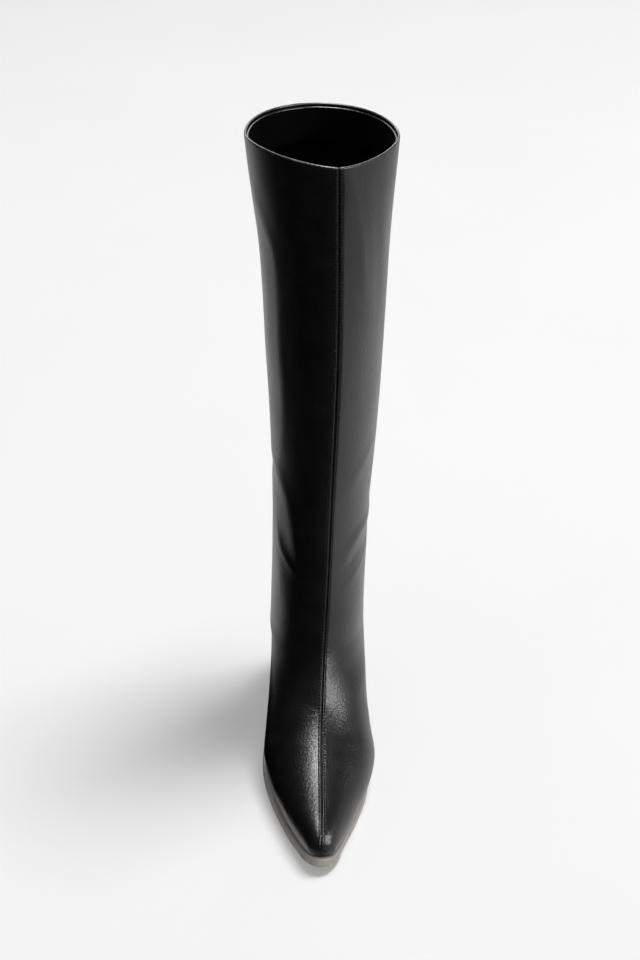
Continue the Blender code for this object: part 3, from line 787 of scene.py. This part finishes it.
def make_stitches(name, material, centres, directions, normals, length, width):
    """Short rounded stitches, one at each centre, joined in one mesh."""
    rings, around = 5, 8
    turns = np.linspace(0, math.pi, rings + 2)[1:-1]
    template = [(-length / 2, 0.0, -width * 0.25)]
    for turn in turns:
        reach = width / 2 * math.sin(turn) ** 0.5
        for k in range(around):
            spin = 2 * math.pi * k / around
            template.append((-length / 2 * math.cos(turn), reach * math.cos(spin), reach * math.sin(spin)))
    template.append((length / 2, 0.0, -width * 0.25))
    template = np.array(template)
    faces_of_one = [(0, 1 + (k + 1) % around, 1 + k) for k in range(around)]
    for ring in range(rings - 1):
        a, b = 1 + ring * around, 1 + (ring + 1) * around
        faces_of_one += [(a + k, a + (k + 1) % around, b + (k + 1) % around, b + k) for k in range(around)]
    tip, last = len(template) - 1, 1 + (rings - 1) * around
    faces_of_one += [(tip, last + k, last + (k + 1) % around) for k in range(around)]
    verts, faces = [], []
    for centre, direction, normal in zip(centres, directions, normals):
        side = np.cross(normal, direction)
        base = len(verts)
        verts.extend(centre + template @ np.array((direction, side, normal)))
        faces.extend(tuple(base + i for i in face) for face in faces_of_one)
    return make_mesh(name, verts, faces, material)


upper, points, normals, surface, seam_run, end_run = make_upper()
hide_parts("upper")
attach(upper, "root")


def seam_row(name, material, shift, length, width, lift):
    """Small rounded bodies in a row on each side of the front seam.

    They are shifted along it by a share of the pitch and lifted by a share of their width.
    """
    middle = points.shape[1] // 2
    centres, directions, outward = [], [], []
    for side in (-1, 1):
        column = middle + side * int(np.argmin(np.abs(NEAR_SEAM - STITCH_OFFSET)))
        for k in range(int(end_run / STITCH_PITCH)):
            run = (k + shift) * STITCH_PITCH
            row = min(max(int(np.searchsorted(seam_run, run)), 2), len(seam_run) - 3)
            t = (run - seam_run[row - 1]) / (seam_run[row] - seam_run[row - 1])
            centre = surface[row - 1, column] * (1 - t) + surface[row, column] * t
            direction = points[row + 1, column] - points[row - 2, column]
            direction /= np.linalg.norm(direction)
            normal = normals[row, column]
            centres.append(centre + normal * width * lift)
            directions.append(direction)
            outward.append(normal - direction * normal.dot(direction))
    return make_stitches(name, material, centres, directions, outward, length, width)


# Stitches, and the leather that stands up between one stitch and the next
stitches = seam_row("front_stitches", thread_and_painted_seam_shade, 0.5, STITCH_LENGTH, STITCH_WIDTH, 0.05)
puckers = seam_row("seam_puckers", leather, 0.0, PUCKER_LENGTH, PUCKER_WIDTH, 0.0)
for row in (stitches, puckers):
    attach(row, "root")


def make_lining():
    """Thin lining inside the upper's wall, from the collar down to the insole. Its near-black colour also
    paints the shade inside the boot.
    """
    step = FINE_ROWS * 2
    inner = points[::step, ::2] - normals[::step, ::2] * UPPER_WALL
    faces = inner_faces(inner.shape[0], inner.shape[1])
    return merged(make_mesh("lining", inner.reshape(-1, 3), faces, black_lining_painted_shade), 1e-5)


def make_facing():
    """A leather band inside the collar, with rounded edges above and below. Its top rows are polished and
    lighter, a painted highlight along the rim, and the rest near-black, painted shade inside the boot.
    """
    fine = PANEL_ROW / FINE_ROWS
    top = round((FACING_DROP - RIM_RADIUS) / fine)
    bottom = round((FACING_DROP + FACING_HEIGHT - RIM_RADIUS) / fine)
    proud = UPPER_WALL + FACING_WALL - FACING_TUCK
    top_shares = (0.0, 0.4, 0.75, 1.0)
    # Each row's place, depth under the outer face, and lift towards the rim
    rows = []
    for i, share in enumerate(top_shares):
        rows.append((top, FACING_TUCK + proud * share, FACING_WALL / 2 * math.sqrt(1 - (i / 3) ** 2)))
    rows += [(row, FACING_TUCK + proud, 0.0) for row in range(top + 1, bottom, FINE_ROWS)]
    rows += [(bottom, FACING_TUCK + proud * share, 0.0) for share in (1.0, 0.6, 0.0)]
    up = points[top] - points[top + 5]
    up /= np.linalg.norm(up, axis=1, keepdims=True)
    grid = np.array([points[row] - normals[row] * depth + up * lift for row, depth, lift in rows])[:, ::2]
    faces = inner_faces(grid.shape[0], grid.shape[1])
    obj = make_mesh("collar_facing", grid.reshape(-1, 3), faces, rim_leather_painted_highlight)
    obj.data.materials.append(black_lining_painted_shade)
    polish_and_painted_highlight_faces = len(top_shares) * (grid.shape[1] - 1)
    obj.data.polygons.foreach_set("material_index", [int(i >= polish_and_painted_highlight_faces) for i in range(len(faces))])
    return merged(obj, 1e-5)


lining = make_lining()
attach(lining, "root")
facing = make_facing()
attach(facing, "root")


# Places along the foot from the heel to the toe, close together at both
STATIONS = [FOOT_LENGTH * (1 + math.cos(math.pi * i / EDGE_STATIONS)) / 2 for i in range(1, EDGE_STATIONS)]


def edge_loop(medial_outset, lateral_outset):
    """Closed plan loop outside the feather line: medial side from heel to toe, then lateral side back."""
    sides = {}
    mean = (medial_outset + lateral_outset) / 2
    for side, side_outset in ((-1, medial_outset), (1, lateral_outset)):
        line = []
        for along in STATIONS:
            # The ledges grow alike towards the toe and the heel's back
            share = min(along, FOOT_LENGTH - along, LEDGE_BLEND) / LEDGE_BLEND
            outset = mean + (side_outset - mean) * share * share * (3 - 2 * share)
            fore, aft = max(along - NUDGE, 0.0), min(along + NUDGE, FOOT_LENGTH)
            run = Vector((feather_x(aft, side) - feather_x(fore, side), aft - fore))
            out = Vector((side * run.y, -side * run.x)).normalized() * outset
            line.append((feather_x(along, side) + out.x, along + out.y))
        sides[side] = line
    heel = (foot_axis(FOOT_LENGTH), FOOT_LENGTH + mean)
    toe = (foot_axis(0.0), -mean)
    return [heel, *sides[-1], toe, *reversed(sides[1])]


def make_outsole():
    """Sole unit with a rounded top edge, a faintly bowed side and a rounded tread edge."""
    # Inset from the sole's edge and depth under its upper face, from the top down the side to the bottom
    profile = (
        (7.0 * MM, 0.0),
        (3.6 * MM, 0.0),
        (1.0 * MM, 0.0),
        (0.45 * MM, 0.10 * MM),
        (0.12 * MM, 0.38 * MM),
        (0.0, 0.90 * MM),
        (0.0, SOLE_THICKNESS * 0.35),
        (0.05 * MM, SOLE_THICKNESS * 0.60),
        (0.12 * MM, SOLE_THICKNESS - 1.1 * MM),
        (0.26 * MM, SOLE_THICKNESS - 0.5 * MM),
        (0.62 * MM, SOLE_THICKNESS - 0.10 * MM),
        (1.2 * MM, SOLE_THICKNESS),
        (5.0 * MM, SOLE_THICKNESS),
        (8.0 * MM, SOLE_THICKNESS),
    )
    verts, loops = [], []
    for inset, depth in profile:
        loop = edge_loop(MEDIAL_LEDGE - inset, LATERAL_LEDGE - inset)
        loops.append(list(range(len(verts), len(verts) + len(loop))))
        verts.extend(world(x, along, lifted(along, -depth)) for x, along in loop)
    faces = []
    for upper_loop, lower_loop in zip(loops, loops[1:]):
        count = len(upper_loop)
        for i in range(count):
            j = (i + 1) % count
            faces.append((upper_loop[i], lower_loop[i], lower_loop[j], upper_loop[j]))
    # Strips across the foot close the top and the bottom
    for loop, up in ((loops[0], True), (loops[-1], False)):
        for i in range(len(loop) // 2):
            corners = (loop[i], loop[i + 1], loop[-i - 1], loop[-i])
            face = tuple(dict.fromkeys(corners))
            if len(face) > 2:
                faces.append(face if up else face[::-1])
    return merged(make_mesh("outsole_rubber", verts, faces, sole_rubber))


outsole = make_outsole()
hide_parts("outsole")
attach(outsole, "root")


def heel_loop(inset):
    """Closed plan loop of the heel's top: around the back, then across the breast."""
    breast = FOOT_LENGTH - SEAT_LENGTH + HEEL_INSET
    stations = [along for along in STATIONS if along > breast + 2 * MM] + [breast]
    medial_outset, lateral_outset = MEDIAL_LEDGE - HEEL_INSET - inset, LATERAL_LEDGE - HEEL_INSET - inset
    sides = []
    for side, outset in ((-1, medial_outset), (1, lateral_outset)):
        line = []
        for along in stations:
            aft = min(along + NUDGE, FOOT_LENGTH)
            run = Vector((feather_x(aft, side) - feather_x(along - NUDGE, side), aft - along + NUDGE))
            out = Vector((side * run.y, -side * run.x)).normalized() * outset
            line.append((feather_x(along, side) + out.x, max(along + out.y, breast + inset)))
        sides.append(line)
    shift, outset = (lateral_outset - medial_outset) / 2, (lateral_outset + medial_outset) / 2
    back = (foot_axis(FOOT_LENGTH) + shift, FOOT_LENGTH + outset)
    medial, lateral = sides
    across = [
        (medial[-1][0] + (lateral[-1][0] - medial[-1][0]) * t, breast + inset)
        for t in np.linspace(0, 1, BREAST_POINTS + 2)[1:-1]
    ]
    return [back, *medial, *across, *reversed(lateral)]


def heel_foot_point(x, along):
    """Where a point of the heel's top comes down on the floor."""
    outset = (MEDIAL_LEDGE + LATERAL_LEDGE) / 2 - HEEL_INSET
    back = FOOT_LENGTH - HEEL_FOOT_SETBACK
    axis = foot_axis(FOOT_LENGTH)
    return (
        axis + (x - axis) * HEEL_FOOT_WIDTH / (SEAT_WIDTH + 2 * outset),
        back + (along - FOOT_LENGTH - outset) * HEEL_FOOT_LENGTH / (SEAT_LENGTH + outset),
    )


def stacked_loops(name, loops, material):
    """A closed body from loops of points, from its top to its foot."""
    verts, faces = [], []
    count = len(loops[0])
    for loop in loops:
        verts.extend(loop)
    for level in range(len(loops) - 1):
        a, b = level * count, (level + 1) * count
        for i in range(count):
            j = (i + 1) % count
            faces.append((a + i, b + i, b + j, a + j))
    faces.append(tuple(range(count)))
    last = (len(loops) - 1) * count
    faces.append(tuple(last + i for i in reversed(range(count))))
    return merged(make_mesh(name, verts, faces, material))


def make_heel():
    """Covered block, which narrows from the seat to its foot in a hollow line."""
    drop = (SOLE_THICKNESS + JOIN_GAP) / math.cos(SEAT_PITCH)
    floor_side = TOP_PIECE + JOIN_GAP
    levels = [(0.8 * MM, 0.0), (0.25 * MM, 0.004), (0.0, 0.015)]
    levels += [(0.0, down) for down in np.linspace(0.03, 0.985, 30)]
    levels += [(0.2 * MM, 0.996), (0.7 * MM, 1.0)]
    loops = []
    for inset, down in levels:
        loop = []
        for x, along in heel_loop(inset):
            foot_x, foot_along = heel_foot_point(x, along)
            in_plan = 1 - (1 - down) ** 2
            high = sole_height(along) - drop
            place = (x + (foot_x - x) * in_plan, along + (foot_along - along) * in_plan)
            loop.append(world(*place, high + (floor_side - high) * down))
        loops.append(loop)
    return stacked_loops("heel_cover", loops, heel_cover)


def make_tip():
    """Rubber top piece with rounded edges."""
    rounding, corner = 0.7 * MM, 0.15 * MM
    levels = (
        (rounding, TOP_PIECE),
        (corner, TOP_PIECE - corner),
        (0.0, TOP_PIECE - rounding),
        (0.0, TOP_PIECE / 2),
        (0.0, rounding),
        (corner, corner),
        (rounding, 0.0),
    )
    loops = []
    for inset, height in levels:
        loops.append([world(*heel_foot_point(x, along), height) for x, along in heel_loop(inset)])
    return stacked_loops("heel_tip_rubber", loops, tip_rubber)


heel = make_heel()
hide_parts("heel_block")
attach(heel, "root")
tip = make_tip()
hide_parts("heel_tip")
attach(tip, "root")

# The insole takes the near-black lining material, which paints the shade inside the boot
insole = frame["nodes"]["insole"]
insole.data.materials.clear()
insole.data.materials.append(black_lining_painted_shade)


# Half the length of the floor's sides
FLOOR_REACH = 6


def make_floor():
    """Plain pale floor."""
    material, tree, shader = principled("floor", (0.86, 0.86, 0.86), 0.7)
    shader.inputs["Specular IOR Level"].default_value = 0.1
    mottle(tree, shader, [(0.3, (0.85, 0.85, 0.85)), (0.7, (0.87, 0.87, 0.87))], 3)
    corners = [(x * FLOOR_REACH, y * FLOOR_REACH, 0) for x, y in ((-1, -1), (1, -1), (1, 1), (-1, 1))]
    return make_mesh("floor", corners, [(0, 1, 2, 3)], material, smooth=False)


floor = make_floor()

world_light = bpy.data.worlds.new("studio")
bpy.context.scene.world = world_light
world_light.use_nodes = True
background = world_light.node_tree.nodes["Background"]
background.inputs["Color"].default_value = (1, 1, 1, 1)
background.inputs["Strength"].default_value = 0.20
world_light.cycles_visibility.glossy = False


def place_light(data, place, direction):
    """The lamp as an object in the scene that shines in the direction."""
    light = bpy.data.objects.new(data.name, data)
    bpy.context.scene.collection.objects.link(light)
    light.location = place
    light.rotation_euler = direction.to_track_quat("-Z", "Y").to_euler()
    return light


def area_light(name, place, target, size, power, reflected=True, lighting=True):
    """Soft box; reflected says that reflections show it, and lighting that it lights what is matt."""
    data = bpy.data.lights.new(name, "AREA")
    data.shape = "RECTANGLE"
    data.size, data.size_y = size
    data.energy = power
    light = place_light(data, place, Vector(target) - Vector(place))
    light.visible_camera = False
    light.visible_glossy = reflected
    light.visible_diffuse = lighting


def sun(name, direction, strength, spread):
    """Wide light, its spread in degrees, that reflections do not show."""
    data = bpy.data.lights.new(name, "SUN")
    data.energy = strength
    data.angle = math.radians(spread)
    light = place_light(data, (0, 0, 0), Vector(direction))
    light.visible_glossy = False
    return light


area_light("key", (0.95, 0.50, 4.4), (0.0, -0.05, 0.1), (1.1, 1.8), 132, reflected=False)
area_light("strip", (-0.20, 0.10, 2.0), (0.0, -0.12, 0.1), (0.66, 0.9), 42, lighting=False)
area_light("side", (1.12, -0.78, 0.95), (0.0, -0.08, 0.12), (1.00, 0.13), 15, lighting=False)
area_light("wall", (1.7, -0.25, 0.45), (0.0, -0.08, 0.12), (2.2, 1.1), 4.1, lighting=False)
area_light("back", (0.0, 1.9, 1.3), (0.0, 0.2, 0.1), (2.4, 0.9), 24, lighting=False)

# Light from the front for the boot alone, and light from above that leaves no shadow
boot_group = bpy.data.collections.new("boot")
for piece in (upper, stitches, puckers, outsole, heel, tip):
    boot_group.objects.link(piece)
front = sun("front", (-0.45, 0.72, -0.53), 4.2, 30)
front.light_linking.receiver_collection = boot_group
fill = sun("floor_fill", (0.0, 0.0, -1.0), 0.85, 30)
fill.data.use_shadow = False


def card_material(name, shade):
    """Matt grey without a gloss of its own."""
    material, _, shader = principled(name, (shade, shade, shade), 1.0)
    shader.inputs["Specular IOR Level"].default_value = 0.0
    return material


def reflected_card(name, corners, material):
    """A card that only reflections see, as a studio puts one beside the camera."""
    card = make_mesh(name, corners, [(0, 1, 2, 3)], material, smooth=False)
    card.visible_camera = False
    card.visible_diffuse = False
    card.visible_shadow = False
    card.visible_transmission = False


card_black = card_material("card_black", 0.0)
card_grey = card_material("card_grey", 0.03)
card_pale = card_material("card_pale", 0.45)

# Plan of the cards that lie on the floor
CARD_LIFT = 0.002
FloorCard = namedtuple("FloorCard", "name material plan")
FLOOR_CARDS = (
    FloorCard("front_flag", card_black, ((-1.6, -2.2), (0.85, -2.2), (0.30, -0.62), (-1.6, -0.62))),
    FloorCard("near_flag", card_grey, ((-0.6, -0.62), (0.22, -0.62), (0.01, -0.234), (-0.6, -0.234))),
    FloorCard("far_flag", card_pale, ((0.62, -2.2), (2.6, -2.2), (2.6, 2.0), (0.62, 2.0))),
    FloorCard("foot_flag", card_black, ((-0.25, -0.40), (-0.045, -0.40), (-0.045, 0.03), (-0.25, 0.03))),
)
for card in FLOOR_CARDS:
    reflected_card(card.name, [(x, y, CARD_LIFT) for x, y in card.plan], card.material)

# A card that stands on the medial side
SIDE_CARD_X = -0.23
side_corners = [(SIDE_CARD_X, y, z) for y, z in ((-0.6, 0.0), (0.08, 0.0), (0.08, 0.6), (-0.6, 0.6))]
reflected_card("side_flag", side_corners, card_black)

# The camera looks down at the boot and leans a little to one side
CAMERA_PLACE = (-0.065, -1.2512, 1.014)
CAMERA_PITCH = math.radians(56.5)
CAMERA_LEAN = -0.044
camera_data = bpy.data.cameras.new("camera")
camera_data.lens = 75
camera_data.sensor_width = 36
camera = bpy.data.objects.new("camera", camera_data)
bpy.context.scene.collection.objects.link(camera)
aim = Matrix.Rotation(CAMERA_PITCH, 4, "X") @ Matrix.Rotation(CAMERA_LEAN, 4, "Y")
camera.matrix_world = Matrix.Translation(CAMERA_PLACE) @ aim
bpy.context.scene.camera = camera
bpy.context.scene.view_settings.view_transform = "Standard"
